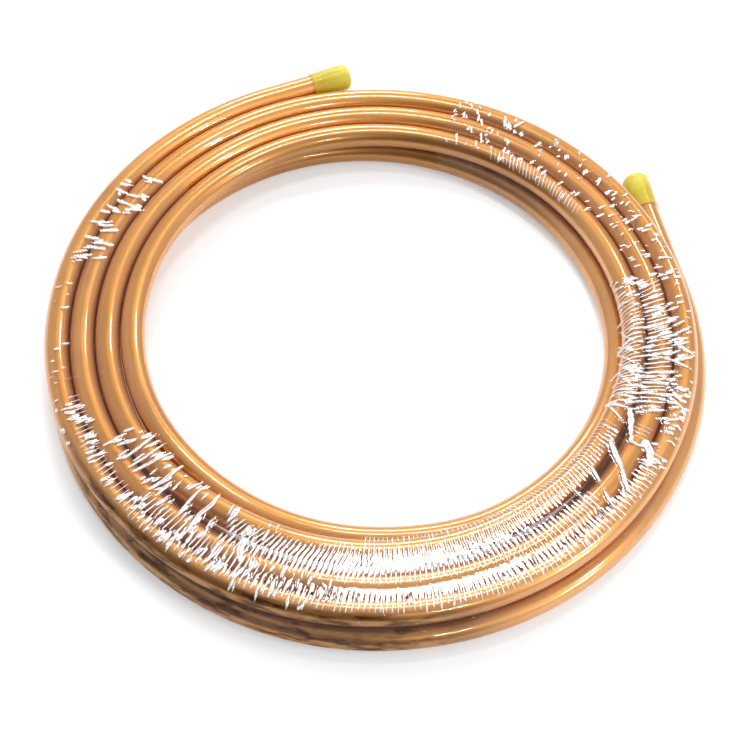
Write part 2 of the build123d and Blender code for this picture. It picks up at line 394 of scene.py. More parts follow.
def film_sections(coil, film, angle, share):
    """The closed line of film round the tubes at each angle, at given shares of its length.

    It starts at the bottom inside and runs outwards. Facing each way, it lies the stand-off beyond the tube that
    reaches furthest that way, and it is straight from one such tube to the next. Comes back as the distance out,
    the height, the two parts of the outward direction, and where on a straight stretch it is with its length.
    """
    radius, height, there = film_tubes(coil, film, angle)
    facing = np.linspace(-0.75 * np.pi, 1.25 * np.pi, 361)
    out, up = np.cos(facing), np.sin(facing)
    reach = radius[:, :, None] * out + height[:, :, None] * up
    furthest = np.where(there[:, :, None], reach, -1).argmax(1)
    stand_off = coil.tube_radius + film.stand_off
    line_out = np.take_along_axis(radius, furthest, 1) + stand_off * out
    line_up = np.take_along_axis(height, furthest, 1) + stand_off * up
    step = np.hypot(np.diff(line_out), np.diff(line_up))
    length = np.concatenate([np.zeros((len(angle), 1)), np.cumsum(step, 1)], 1)
    row = 2.0 * np.arange(len(angle))[:, None]
    known = (length / length[:, -1:] + row).ravel()
    wanted = (share + row).ravel()
    shape = (len(angle), len(share))
    found = [np.interp(wanted, known, line.ravel()).reshape(shape) for line in
             (line_out, line_up, np.broadcast_to(out, line_out.shape), np.broadcast_to(up, line_out.shape))]
    place = np.clip(np.searchsorted(known, wanted, side="right") - 1, 0, len(known) - 2)
    within = ((wanted - known[place]) / np.maximum(known[place + 1] - known[place], 1e-9)).reshape(shape)
    stretch = np.append(np.pad(step, ((0, 0), (0, 1))).ravel(), 0)[place].reshape(shape)
    return *found, within, stretch


def fold_field(angle, across, folds):
    """How much of a fold there is at each point of the film, from 0 to 1.

    One less the square of the distance to the fold's line over its reach. The reach goes a little past the half
    width, and narrows to both ends of the line.
    """
    field = np.zeros_like(across)
    arc = MEAN_RADIUS * angle
    for half, points in folds:
        line = np.array(points, float)
        line[:, 0] = np.radians(line[:, 0]) * MEAN_RADIUS
        first = np.searchsorted(arc, line[:, 0].min() - 3 * half)
        last = np.searchsorted(arc, line[:, 0].max() + 3 * half)
        x, y = np.broadcast_to(arc[first:last, None], across[first:last].shape), across[first:last]
        pieces = np.linalg.norm(np.diff(line, axis=0), axis=1)
        before = np.concatenate([[0], np.cumsum(pieces)]) / pieces.sum()
        nearest = np.full(x.shape, 1e3)
        share = np.zeros(x.shape)
        for n, (a, b) in enumerate(zip(line[:-1], line[1:])):
            way = (b - a) / pieces[n]
            on = np.clip((x - a[0]) * way[0] + (y - a[1]) * way[1], 0, pieces[n])
            gap = np.hypot(x - a[0] - on * way[0], y - a[1] - on * way[1])
            closer = gap < nearest
            nearest = np.where(closer, gap, nearest)
            share = np.where(closer, before[n] + on / pieces.sum(), share)
        taper = 0.35 + 0.65 * np.sqrt(np.clip(4 * share * (1 - share), 0, 1))
        reach = 1.7 * half * taper
        amount = np.clip(1 - (nearest / reach) ** 2, 0, 1) * taper
        field[first:last] = np.maximum(field[first:last], amount)
    return field


def comb_field(angle, across, pitch, seed):
    """Rows of fine ridges, from 0 to 1: how strong they are inside each comb's bounds, and which ridge a point is at.

    The ridge's number is the length along the film over the pitch, and the spacing wanders a little. Each ridge
    reaches more or less far than its neighbours, by a random share of the jitter.
    """
    jitter, edge, fading = 2.6, 1.8, 5
    field, count = np.zeros_like(across), np.zeros_like(across)
    chance = np.random.default_rng(seed).random(4096)
    for number, (start, end, inner, outer, lean, strength) in enumerate(COMBS):
        first, last = np.searchsorted(angle, np.radians([start - 1, end + 1]))
        if first == last:
            continue
        y = across[first:last]
        x = MEAN_RADIUS * angle[first:last, None] + lean * (y - inner)
        wander = soft_noise(x / 14, y / 30 + number, seed) - 0.5
        phase = x / pitch + 1.2 * wander
        tooth = np.floor(phase + 0.5).astype(int) + 131 * number
        at_inner, at_outer, boldness = (chance[(tooth + offset) % len(chance)] for offset in (0, 1733, 977))
        low = inner + jitter * (at_inner - 0.6)
        high = outer - jitter * (at_outer - 0.6)
        inside = over(y, low, low + edge) * over(y, high, high - edge)
        degrees = np.degrees(angle[first:last, None])
        inside = inside * over(degrees, start, start + fading) * over(degrees, end, end - fading)
        amount = inside * strength * (0.6 + 0.5 * boldness)
        count[first:last] = np.where(amount > field[first:last], phase, count[first:last])
        field[first:last] = np.maximum(field[first:last], amount)
    return np.clip(field, 0, 1), count


def scattered_folds(seed):
    """Short straight folds at random places inside each flurry's bounds."""
    random = np.random.default_rng(seed)
    folds = []
    for start, end, inner, outer, count, length, lean, half in FLURRIES:
        for angle, across, size, tilt in random.random((count, 4)):
            degree = start + (end - start) * angle
            distance = inner + (outer - inner) * across
            reach = length * (0.4 + 1.2 * size) / 2
            slant = np.degrees(reach * (lean + 0.5 * (tilt - 0.5)) / MEAN_RADIUS)
            line = ((degree - slant, distance + reach), (degree + slant, distance - reach))
            folds.append((half * (0.7 + 0.9 * tilt), line))
    return folds


def film_slack(coil, film, angle, out, face_up, within, stretch):
    """How deep the film dips between the tubes that carry it, and where it spans two of them, from 0 to 1.

    Between two tubes it dips by one less the eighth power of the cosine of half a turn for each gap, which is flat
    in the middle and steep at the tubes. On the sides the same holds for each straight stretch. Where the fourth turn
    has sunk, the third one is the innermost that carries the film.
    """
    upper = winding_radius(coil, angle[:, None] + FULL * np.arange(4))
    sunk = winding_height(coil, angle + 3 * FULL) < coil.upper_height - 0.5 * MM
    upper[:, 3] = np.where(sunk, upper[:, 2] - 1, upper[:, 3])
    between = (upper[:, :-1, None] - out[:, None]) / (upper[:, :-1, None] - upper[:, 1:, None])
    between = np.where(upper[:, 1:, None] < 0, 0, np.clip(between, 0, 1)).sum(1)
    flat_top = over(face_up, 0.97, 1)
    spans = (1 - np.cos(np.pi * between) ** 8) * flat_top
    side = (1 - flat_top) * over(stretch, 4 * MM, 12 * MM) * (1 - np.cos(np.pi * within) ** 8)
    return film.slack * (spans + side), spans


def torn_through(coil, film, angle, points):
    """Which points of the film are so near the lower free end that it has torn its way through them."""
    line = centre_line(coil)[-int(coil.lower_free / LINE_STEP) + 30:][::8]
    near = angle > film.window_start - 0.1
    gap = np.sqrt(((points[near].reshape(-1, 3)[:, None] - line) ** 2).sum(-1).min(1))
    torn = np.zeros(points.shape[:2], bool)
    torn[near] = (gap < coil.tube_radius + film.tear).reshape(-1, points.shape[1])
    return torn.ravel()


def film_surface(coil, film):
    """The film's points, faces and point values.

    Its two long edges overlap at the bottom inside. Its sections are drawn a little slack between the tubes, then
    raised along the outward direction by the folds and combs, and its two ends are moved along by a soft noise. Faces
    near the lower free end are left out.
    """
    fine, plain = np.radians(film.fine_step), np.radians(film.plain_step)
    bounds = [film.start, np.radians(192), np.radians(376), film.end]
    pieces = [np.arange(a, b - 0.01 * step, step) for a, b, step in zip(bounds, bounds[1:], (plain, fine, plain))]
    angle = np.concatenate([*pieces, [film.end]])
    columns = angle[:, None]
    share = np.linspace(0, 1, film.rows)
    share = np.interp(share, (0, 0.07, 0.22, 0.87, 1), (0, 0.25, 0.46, 0.86, 1 + film.overlap))
    out, height, face_out, face_up, within, stretch = film_sections(coil, film, angle, share % 1)

    drop = coil.upper_height + coil.tube_radius + film.stand_off - height
    across = (out + np.where(face_out > 0, 1, -1) * DROP_ASIDE * drop) / MM
    slack, spans = film_slack(coil, film, angle, out, face_up, within, stretch)
    seen = over(face_up, -0.9, -0.4)
    folds = fold_field(angle, across, list(FOLDS) + scattered_folds(film.seed)) * seen
    combs, count = comb_field(angle, across, film.comb_pitch / MM, film.seed)
    combs = combs * seen
    along = MEAN_RADIUS * columns
    crease = (soft_noise(along / 9, across / 5, 3) + 0.5 * soft_noise(along / 3.5, across / 3, 4)) * seen
    ridges = combs * np.cos(np.pi * count) ** 4
    raised = film.fold_height * folds + film.comb_height * ridges + film.crease_height * crease - slack
    raised = raised + 0.2 * MM * over(share, 0.98, 1)
    out, height = out + raised * face_out, height + raised * face_up

    ragged = 0.6 * soft_noise(across / 6, across / 23, 8) + 0.4 * soft_noise(across / 2.5, across / 9, 9) - 0.5
    near_end = over(columns, film.end - np.radians(6), film.end)
    near_start = over(columns, film.start + np.radians(6), film.start)
    points = out[..., None] * bearing(columns + film.ragged * ragged * (near_end + near_start))
    points[..., 2] = height

    faces = ring_faces(len(angle), film.rows, closed=False)
    faces = faces[~torn_through(coil, film, angle, points)[faces].any(1)]
    around = np.stack([along * MM + 0 * across, across * MM, 0 * across], -1)
    values = {"fold": folds.ravel(), "comb": np.stack([combs, count, spans], -1).reshape(-1, 3),
              "around": around.reshape(-1, 3)}
    return points.reshape(-1, 3), faces, values


# Materials

def feed(tree, node, inputs):
    """Gives a node's inputs their values, or joins them to other nodes' sockets."""
    for name, value in inputs.items():
        if isinstance(value, bpy.types.NodeSocket):
            tree.links.new(value, node.inputs[name])
        else:
            node.inputs[name].default_value = value


def put(tree, kind, inputs=None, **settings):
    """Adds a node, sets it up and feeds its inputs."""
    made = tree.nodes.new(kind)
    for name, value in settings.items():
        setattr(made, name, value)
    feed(tree, made, inputs or {})
    return made


def sum_of(tree, kind, a, b=0.0, c=None):
    """One step of arithmetic on sockets or numbers."""
    inputs = {0: a, 1: b} if c is None else {0: a, 1: b, 2: c}
    return put(tree, "ShaderNodeMath", inputs, operation=kind).outputs[0]


def product(tree, a, b):
    """One value times another."""
    return sum_of(tree, "MULTIPLY", a, b)


def mapped(tree, value, low, high, to_low=0.0, to_high=1.0, smooth=True):
    """A value taken from one range to another."""
    inputs = {"Value": value, "From Min": low, "From Max": high, "To Min": to_low, "To Max": to_high}
    kind = "SMOOTHSTEP" if smooth else "LINEAR"
    return put(tree, "ShaderNodeMapRange", inputs, interpolation_type=kind).outputs["Result"]


def blended(tree, share, plain, other):
    """A colour between two, each a socket or red, green and blue, by a share."""
    plain, other = (c if isinstance(c, bpy.types.NodeSocket) else (*c, 1) for c in (plain, other))
    return put(tree, "ShaderNodeMix", {"Factor": share, "A": plain, "B": other}, data_type="RGBA").outputs["Result"]


def attribute(tree, name, output="Fac"):
    """A point value of the piece, as a number or as a vector."""
    return put(tree, "ShaderNodeAttribute", attribute_name=name).outputs[output]


def object_place(tree):
    """Where a point of the piece is."""
    return put(tree, "ShaderNodeTexCoord").outputs["Object"]


def bump(tree, height, strength, distance):
    """The direction of the surface as fine relief tilts it."""
    inputs = {"Height": height, "Strength": strength, "Distance": distance}
    return put(tree, "ShaderNodeBump", inputs).outputs["Normal"]


def lay_out(tree):
    """Puts each node in a column left of the nodes that it feeds."""
    depth = {node: 0 for node in tree.nodes}
    for _ in range(len(tree.nodes)):
        for link in tree.links:
            depth[link.from_node] = max(depth[link.from_node], depth[link.to_node] + 1)
    filled = {}
    for node in tree.nodes:
        column = depth[node]
        node.location = (-260 * column, -240 * filled.get(column, 0))
        filled[column] = filled.get(column, 0) + 1


def draw_specks(tree, given):
    """Small round specks, here and there: close to some of the points of a cell pattern."""
    cells = put(tree, "ShaderNodeTexVoronoi", {"Vector": given["Vector"], "Scale": given["Scale"]})
    chosen = put(tree, "ShaderNodeSeparateColor", {"Color": cells.outputs["Color"]}).outputs["Red"]
    chosen = sum_of(tree, "LESS_THAN", chosen, given["Share"])
    return product(tree, chosen, mapped(tree, cells.outputs["Distance"], 0.0, given["Size"], 1.0, 0.0))


def draw_smudges(tree, given):
    """Soft patches, as of handling, tarnish or haze."""
    inputs = {"Vector": given["Vector"], "Scale": given["Scale"], "Detail": 4.0, "Distortion": 0.4}
    return mapped(tree, put(tree, "ShaderNodeTexNoise", inputs).outputs["Fac"], given["Low"], given["High"])


def draw_streaks(tree, given):
    """Fine lines that run the third way of the pattern's own coordinates, as a die leaves them."""
    stretch = put(tree, "ShaderNodeCombineXYZ", {"X": 1.0, "Y": 1.0, "Z": given["Length"]}).outputs[0]
    drawn = put(tree, "ShaderNodeVectorMath", {0: given["Vector"], 1: stretch}, operation="MULTIPLY").outputs[0]
    inputs = {"Vector": drawn, "Scale": given["Fineness"], "Detail": 3.0, "Roughness": 0.6}
    return put(tree, "ShaderNodeTexNoise", inputs).outputs["Fac"]


# The shared groups of nodes: how each is drawn, and the values that it takes besides the pattern's coordinates.
EFFECTS = {
    "Specks": (draw_specks, {"Scale": 300.0, "Share": 0.1, "Size": 0.2}),
    "Smudges": (draw_smudges, {"Scale": 20.0, "Low": 0.4, "High": 0.7}),
    "Streaks": (draw_streaks, {"Fineness": 900.0, "Length": 0.02}),
}


def new_effect(name):
    """Builds a shared group of nodes that has named inputs and puts out one number."""
    draw, defaults = EFFECTS[name]
    tree = bpy.data.node_groups.new(name, "ShaderNodeTree")
    tree.interface.new_socket("Vector", in_out="INPUT", socket_type="NodeSocketVector")
    for label, default in defaults.items():
        socket = tree.interface.new_socket(label, in_out="INPUT", socket_type="NodeSocketFloat")
        socket.default_value = default
    tree.interface.new_socket(name, in_out="OUTPUT", socket_type="NodeSocketFloat")
    given, result = tree.nodes.new("NodeGroupInput").outputs, tree.nodes.new("NodeGroupOutput").inputs
    tree.links.new(draw(tree, given), result[0])
    lay_out(tree)
    return tree


def effect(tree, name, vector, **values):
    """Places a shared group in a material with its own values, and builds it first where it isn't there yet."""
    group = bpy.data.node_groups.get(name) or new_effect(name)
    return put(tree, "ShaderNodeGroup", {"Vector": vector, **values}, node_tree=group).outputs[0]


def new_material(name):
    """An empty material, its tree, and its shader, joined to the output."""
    material = bpy.data.materials.new(name)
    material.use_nodes = True
    tree = material.node_tree
    tree.nodes.clear()
    shader = tree.nodes.new("ShaderNodeBsdfPrincipled")
    output = tree.nodes.new("ShaderNodeOutputMaterial")
    tree.links.new(shader.outputs["BSDF"], output.inputs["Surface"])
    return material, tree, shader


def copper_material(coil):
    """Bright drawn copper under a clear skin, with fine lines along the tube, smudges, tarnish and specks.

    It has painted shade in the grooves, and a painted dark reflection at the front left with painted shade at the
    back, which has streaks of unshaded copper where it is strong.
    """
    material, tree, shader = new_material("drawn copper")
    along, place = attribute(tree, "along", "Vector"), object_place(tree)
    lines = effect(tree, "Streaks", along, Fineness=1400.0, Length=0.012)
    bands = effect(tree, "Streaks", along, Fineness=260.0, Length=0.03)
    handled = effect(tree, "Smudges", place, Scale=34.0, Low=0.42, High=0.72)
    tarnish = effect(tree, "Smudges", along, Scale=22.0, Low=0.52, High=0.74)
    specks = effect(tree, "Specks", along, Scale=130.0, Share=0.05, Size=0.10)
    colour = blended(tree, mapped(tree, bands, 0.35, 0.65), coil.copper_deep, coil.copper_bright)
    colour = blended(tree, product(tree, tarnish, 0.35), colour, coil.tarnish)
    colour = blended(tree, product(tree, specks, 0.8), colour, coil.speck)
    # Painted shade in the grooves between the turns.
    colour = blended(tree, product(tree, attribute(tree, "groove_shade"), 0.5), colour, coil.groove_shade)
    # Painted dark reflection at the front left and painted shade at the back, broken by streaks of unshaded copper
    # where they are strong.
    painted_shade = attribute(tree, "painted_shade")
    shade_breaks = effect(tree, "Streaks", along, Fineness=300.0, Length=0.25)
    shade_breaks = product(tree, mapped(tree, shade_breaks, 0.38, 0.58, 0.0, 0.50), mapped(tree, painted_shade, 0.50, 0.80))
    painted_shade = product(tree, painted_shade, sum_of(tree, "SUBTRACT", 1.0, shade_breaks))
    rough = mapped(tree, handled, 0.0, 1.0, coil.roughness, coil.roughness + 0.10, smooth=False)
    feed(tree, shader, {
        "Base Color": blended(tree, painted_shade, colour, coil.painted_shade),
        "Roughness": sum_of(tree, "ADD", rough, product(tree, lines, 0.06)),
        "Normal": bump(tree, lines, 0.10, 0.12 * MM),
        "Metallic": 0.75,
        "Specular Tint": (1.0, 0.80, 0.62, 1),
        # The clear skin is left off where the painted dark reflection and shade lie.
        "Coat Weight": sum_of(tree, "SUBTRACT", 1.0, painted_shade),
        "Coat Roughness": 0.05,
        "Coat IOR": 1.7,
    })
    lay_out(tree)
    return material


def vinyl_material(caps):
    """Soft yellow vinyl that lets some of the tube show through near its mouth, with faint mould lines and dust."""
    material, tree, shader = new_material("yellow vinyl")
    along, place = attribute(tree, "along", "Vector"), object_place(tree)
    lines = effect(tree, "Streaks", along, Fineness=300.0, Length=0.2)
    cloudy = effect(tree, "Smudges", place, Scale=90.0, Low=0.35, High=0.7)
    dust = effect(tree, "Specks", place, Scale=420.0, Share=0.06, Size=0.14)
    past = put(tree, "ShaderNodeSeparateXYZ", {0: along}).outputs["Z"]
    opacity = mapped(tree, past, -caps.overlap, caps.end_gap, caps.opacity, caps.tip_opacity)
    colour = blended(tree, cloudy, caps.colour, caps.pale)
    feed(tree, shader, {
        "Base Color": blended(tree, product(tree, dust, 0.6), colour, caps.dust),
        "Roughness": mapped(tree, cloudy, 0.0, 1.0, 0.26, 0.40, smooth=False),
        "Alpha": sum_of(tree, "ADD", opacity, product(tree, cloudy, 0.10)),
        "Normal": bump(tree, lines, 0.15, 0.3 * MM),
        "IOR": 1.52,
    })
    lay_out(tree)
    return material


def film_material(film):
    """Clear film: a faint mirror with painted white highlights along its folds and fine ridges, with haze, creases
    and tiny blisters.

    The mirror is stronger where the film spans two tubes, and where it is seen at a low angle.
    """
    material, tree, shader = new_material("clear film")
    fold, around = attribute(tree, "fold"), attribute(tree, "around", "Vector")
    comb = put(tree, "ShaderNodeSeparateXYZ", {0: attribute(tree, "comb", "Vector")}).outputs
    strength, phase, spans = comb["X"], comb["Y"], comb["Z"]
    haze = effect(tree, "Smudges", around, Scale=60.0, Low=0.45, High=0.75)
    blisters = effect(tree, "Specks", around, Scale=330.0, Share=0.10, Size=0.22)
    creases = effect(tree, "Smudges", around, Scale=420.0, Low=0.3, High=0.8)
    broken = effect(tree, "Smudges", around, Scale=1300.0, Low=0.32, High=0.55)

    # A fold's painted white highlight is whitest along both its sides, and duller in the middle where it is broad.
    white = product(tree, mapped(tree, fold, 0.15, 0.5), mapped(tree, broken, 0.0, 1.0, 0.60, 1.0, smooth=False))
    white = product(tree, white, mapped(tree, fold, 0.75, 1.0, 1.0, 0.55))
    # A fine ridge's painted white highlight runs where the phase is a whole number, and is as wide as its comb is
    # strong.
    wave = sum_of(tree, "ABSOLUTE", sum_of(tree, "SINE", product(tree, phase, float(np.pi))))
    ridge = sum_of(tree, "SUBTRACT", product(tree, strength, 0.50), wave)
    ridge = mapped(tree, ridge, -0.06, 0.22, 0.0, film.comb_glint)
    ridge = product(tree, ridge, mapped(tree, strength, 0.05, 0.5))
    white = sum_of(tree, "MAXIMUM", white, ridge)
    white = sum_of(tree, "MAXIMUM", white, product(tree, blisters, 0.35))

    rim = put(tree, "ShaderNodeLayerWeight", {"Blend": 0.35}).outputs["Facing"]
    rim = product(tree, sum_of(tree, "POWER", rim, 4.0), 0.06)
    mirror = mapped(tree, spans, 0.3, 1.0, film.clear, film.span_clear, smooth=False)
    veil = sum_of(tree, "ADD", sum_of(tree, "ADD", mirror, rim), product(tree, haze, 0.015))
    # The painted white highlights are nearly opaque over the film's faint mirror.
    opacity = sum_of(tree, "ADD", veil, product(tree, white, 0.97))
    feed(tree, shader, {
        "Base Color": blended(tree, haze, (1.0, 1.0, 1.0), (0.96, 0.96, 0.95)),
        "Alpha": put(tree, "ShaderNodeClamp", {"Value": opacity}).outputs[0],
        "Metallic": sum_of(tree, "SUBTRACT", 1.0, white),
        "Roughness": mapped(tree, white, 0.0, 1.0, 0.05, 0.32, smooth=False),
        "Normal": bump(tree, creases, 0.25, 0.05 * MM),
    })
    lay_out(tree)
    return material


def floor_material(stage):
    """A plain pale floor that shows its shadows, and is a little lighter to the eye and in reflections."""
    material, tree, shader = new_material("pale floor")
    marks = effect(tree, "Smudges", object_place(tree), Scale=3.0, Low=0.3, High=0.8)
    marked = [0.99 * part for part in stage.floor_colour]
    rays = put(tree, "ShaderNodeLightPath").outputs
    seen = sum_of(tree, "MAXIMUM", rays["Is Camera Ray"], rays["Is Transmission Ray"])
    feed(tree, shader, {
        "Base Color": blended(tree, marks, stage.floor_colour, marked),
        "Emission Color": sum_of(tree, "MAXIMUM", seen, rays["Is Glossy Ray"]),
        "Emission Strength": stage.floor_lift,
        "Roughness": 0.9,
        "Specular IOR Level": 0.1,
    })
    lay_out(tree)
    return material


# Settings, each with a name, a description and a default

def number(name, description, default, **more):
    return bpy.props.FloatProperty(name=name, description=description, default=default, **more)


def length(name, description, default):
    return number(name, description, default, unit="LENGTH", precision=5)


def turn(name, description, degrees):
    return number(name, description, float(np.radians(degrees)), subtype="ANGLE")


def share(name, description, default, most=1):
    return number(name, description, default, min=0, max=most)


def count(name, description, default, least):
    return bpy.props.IntProperty(name=name, description=description, default=default, min=least)


def colour(name, description, default):
    return bpy.props.FloatVectorProperty(
        name=name, description=description, default=default, subtype="COLOR", min=0, max=1)


class CoilTube(bpy.types.PropertyGroup):
    outer_radius: length("Outer radius", "From the axis to the middle of the outermost turn", 169.5 * MM)
    tube_radius: length("Tube radius", "Half the tube's outside diameter", 6.35 * MM)
    wall: length("Wall", "Thickness of the tube's wall", 0.89 * MM)
    pitch: length("Pitch", "From one turn to the next, across the coil", 12.8 * MM)
    layer_pitch: length("Layer pitch", "From the lower layer to the upper one", 12.8 * MM)
    upper_height: length("Upper height", "Height of the middle of the upper layer", 19.75 * MM)
    upper_joint: turn("Upper joint", "Where the upper turns start to step in", 104.5)
    upper_leave: turn("Upper leave", "Where the upper free end leaves, about the stepping turns' centre", 112.0)
    lower_leave: turn("Lower leave", "Where the lower free end leaves, about the stepping turns' centre", 13.5)
    upper_free: length("Upper free end", "Length of the upper free end", 43 * MM)
    lower_free: length("Lower free end", "Length of the lower free end", 69 * MM)
    lift_length: length("Lift length", "Length over which the lower free end bends up", 20 * MM)
    lift_angle: turn("Lift", "How far the lower free end bends up", 2.0)
    bore_depth: length("Bore depth", "How deep the open ends are", 21.5 * MM)
    waver: length("Waver", "How far the turns wander off their even spiral", 0.25 * MM)
    ring_spacing: length("Ring spacing", "Length of a face along the tube", 3.0 * MM)
    sides: count("Sides", "Faces round the tube", 28, 8)
    copper_bright: colour("Bright copper", "Clean drawn copper", (0.745, 0.345, 0.090))
    copper_deep: colour("Deep copper", "Copper in the streaks", (0.66, 0.275, 0.055))
    tarnish: colour("Tarnish", "Copper that has gone brown", (0.36, 0.15, 0.06))
    speck: colour("Speck", "Small dark specks", (0.10, 0.045, 0.02))
    # Colour of the painted shade in the grooves between the turns.
    groove_shade: colour("Groove", "Copper where two turns meet", (0.13, 0.028, 0.010))
    # Colour of the painted dark reflection at the front left and of the painted shade at the back.
    painted_shade: colour("Stain", "Copper in the stain at the front left and at the back", (0.090, 0.031, 0.008))
    # How strong the painted shade is on the inward side at the back.
    inner_shade: share("Inner stain", "How strong the stain is on the inward side at the back", 0.50)
    roughness: share("Roughness", "How dull the copper is where it is clean", 0.31)


class CoilCaps(bpy.types.PropertyGroup):
    inner_radius: length("Inner radius", "Half the bore of a cap", 6.5 * MM)
    outer_radius: length("Outer radius", "Half the outside diameter of a cap", 7.4 * MM)
    overlap: length("Overlap", "How far a cap is pushed over the tube", 18 * MM)
    end_gap: length("End gap", "Room between the tube's end and the cap's end wall", 2.8 * MM)
    end_wall: length("End wall", "Thickness of the cap's end wall", 1.8 * MM)
    rounding: length("Rounding", "Radius of the rounded tip", 3.6 * MM)
    sides: count("Sides", "Faces round a cap", 64, 8)
    colour: colour("Vinyl", "The vinyl's own colour", (0.74, 0.61, 0.03))
    pale: colour("Pale vinyl", "Where the vinyl is cloudy", (0.80, 0.69, 0.10))
    dust: colour("Dust", "Specks of dust on the vinyl", (0.75, 0.72, 0.6))
    opacity: share("Opacity", "How much of the tube the vinyl hides at its mouth", 0.36)
    tip_opacity: share("Tip opacity", "How much the vinyl hides at its tip", 0.80)


class CoilFilm(bpy.types.PropertyGroup):
    start: turn("Start", "Where the film starts", 140.0)
    end: turn("End", "Where the film ends", 435.0)
    window_start: turn("Window", "Where the film is drawn in behind the lower free end", 370.0)
    window_easing: turn("Window easing", "Over what angle it is drawn in", 20.0)
    stand_off: length("Stand-off", "From the tube to the film", 0.30 * MM)
    slack: length("Slack", "How deep the film dips between two tubes", 0.16 * MM)
    fold_height: length("Fold height", "How high a fold stands", 0.75 * MM)
    comb_height: length("Comb height", "How high the fine ridges stand", 0.14 * MM)
    comb_pitch: length("Comb pitch", "From one fine ridge to the next", 2.6 * MM)
    crease_height: length("Crease height", "How uneven the film is everywhere", 0.02 * MM)
    ragged: turn("Ragged ends", "How uneven the film's two ends are", 2.5)
    overlap: share("Overlap", "Share of the way round by which the long edges overlap", 0.035, 0.2)
    tear: length("Tear", "How far the film has torn back from the lower free end", 0.8 * MM)
    fine_step: number("Fine step", "Degrees between sections where the film is folded most", 0.16, min=0.02)
    plain_step: number("Plain step", "Degrees between sections elsewhere", 0.22, min=0.02)
    rows: count("Rows", "Points round a section", 58, 12)
    seed: count("Seed", "Picks the scattered folds", 7, 0)
    clear: share("Clear film", "How much of a mirror the film is on the tubes", 0.016)
    span_clear: share("Clear film between tubes", "How much of a mirror it is where it spans two tubes", 0.10)
    # How white the painted highlights along the fine ridges are.
    comb_glint: share("Comb whiteness", "How white the fine ridges are", 0.9)


class CoilStage(bpy.types.PropertyGroup):
    floor_colour: colour("Floor", "Colour of the floor", (0.815, 0.835, 0.855))
    floor_lift: number("Floor lift", "Light that only the eye and reflections see on the floor", 0.28, min=0)
    sky: number("Room light", "Light from all round", 0.66, min=0)
    strip: number("Strip light", "Light of the tall strip behind the coil", 0.20, min=0)
    camera_tilt: turn("Camera tilt", "How far the camera looks down", 57.469)
    camera_roll: turn("Camera roll", "How far the camera is turned about its own line of sight", 0.721)
    camera_place: bpy.props.FloatVectorProperty(
        name="Camera place", description="Where the camera is", default=(-0.00115, -0.44730, 0.68468),
        subtype="TRANSLATION")


# Operators

class COIL_OT_tube(bpy.types.Operator):
    """Adds the wound copper tube with its open ends"""
    bl_idname = "coil.tube"
    bl_label = "Copper tube"

    def execute(self, context):
        coil = context.scene.coil_tube
        line = centre_line(coil)
        gone = np.concatenate([[0], np.cumsum(np.linalg.norm(np.diff(line, axis=0), axis=1))])
        total = gone[-1]
        bore = coil.tube_radius - coil.wall
        # A cut end, as depth and radius: the bottom of the bore, the bore, its broken edge, the cut, the outer edge.
        lip = np.array([
            (coil.bore_depth, 0), (coil.bore_depth, bore), (coil.bore_depth / 2, bore), (0.3 * MM, bore),
            (0.05 * MM, bore + 0.06 * MM), (0, bore + 0.2 * MM), (0, coil.tube_radius - 0.3 * MM),
            (0.1 * MM, coil.tube_radius - 0.08 * MM), (0.35 * MM, coil.tube_radius),
        ])
        middle = np.linspace(1 * MM, total - 1 * MM, int(total / coil.ring_spacing))
        at = np.concatenate([lip[:, 0], middle, total - lip[::-1, 0]])
        radii = np.concatenate([lip[:, 1], np.full(len(middle), coil.tube_radius), lip[::-1, 1]])
        ways = np.gradient(line, axis=0)
        centres = np.stack([np.interp(at, gone, line[:, axis]) for axis in range(3)], -1)
        ways = unit(np.stack([np.interp(at, gone, ways[:, axis]) for axis in range(3)], -1))
        rings = carried(centres, ways, radii, coil.sides)
        points, faces = closed_along(rings)
        turned = np.linspace(0, FULL, coil.sides, endpoint=False)
        drawn = radii[1:-1, None, None] * np.stack([np.cos(turned), np.sin(turned), 0 * turned], -1)
        drawn[..., 2] = at[1:-1, None]
        drawn = np.concatenate([drawn.reshape(-1, 3), [[0, 0, at[0]], [0, 0, at[-1]]]])
        # Painted shade in the grooves, and painted dark reflection and shade on the outermost and innermost turns.
        groove_shade, painted_shade = shading_on_tube(coil, points)
        values = {"along": drawn, "groove_shade": groove_shade, "painted_shade": painted_shade}
        new_piece("wound_tube", points, faces, values, copper_material(coil), ["copper_tube"])
        return {"FINISHED"}


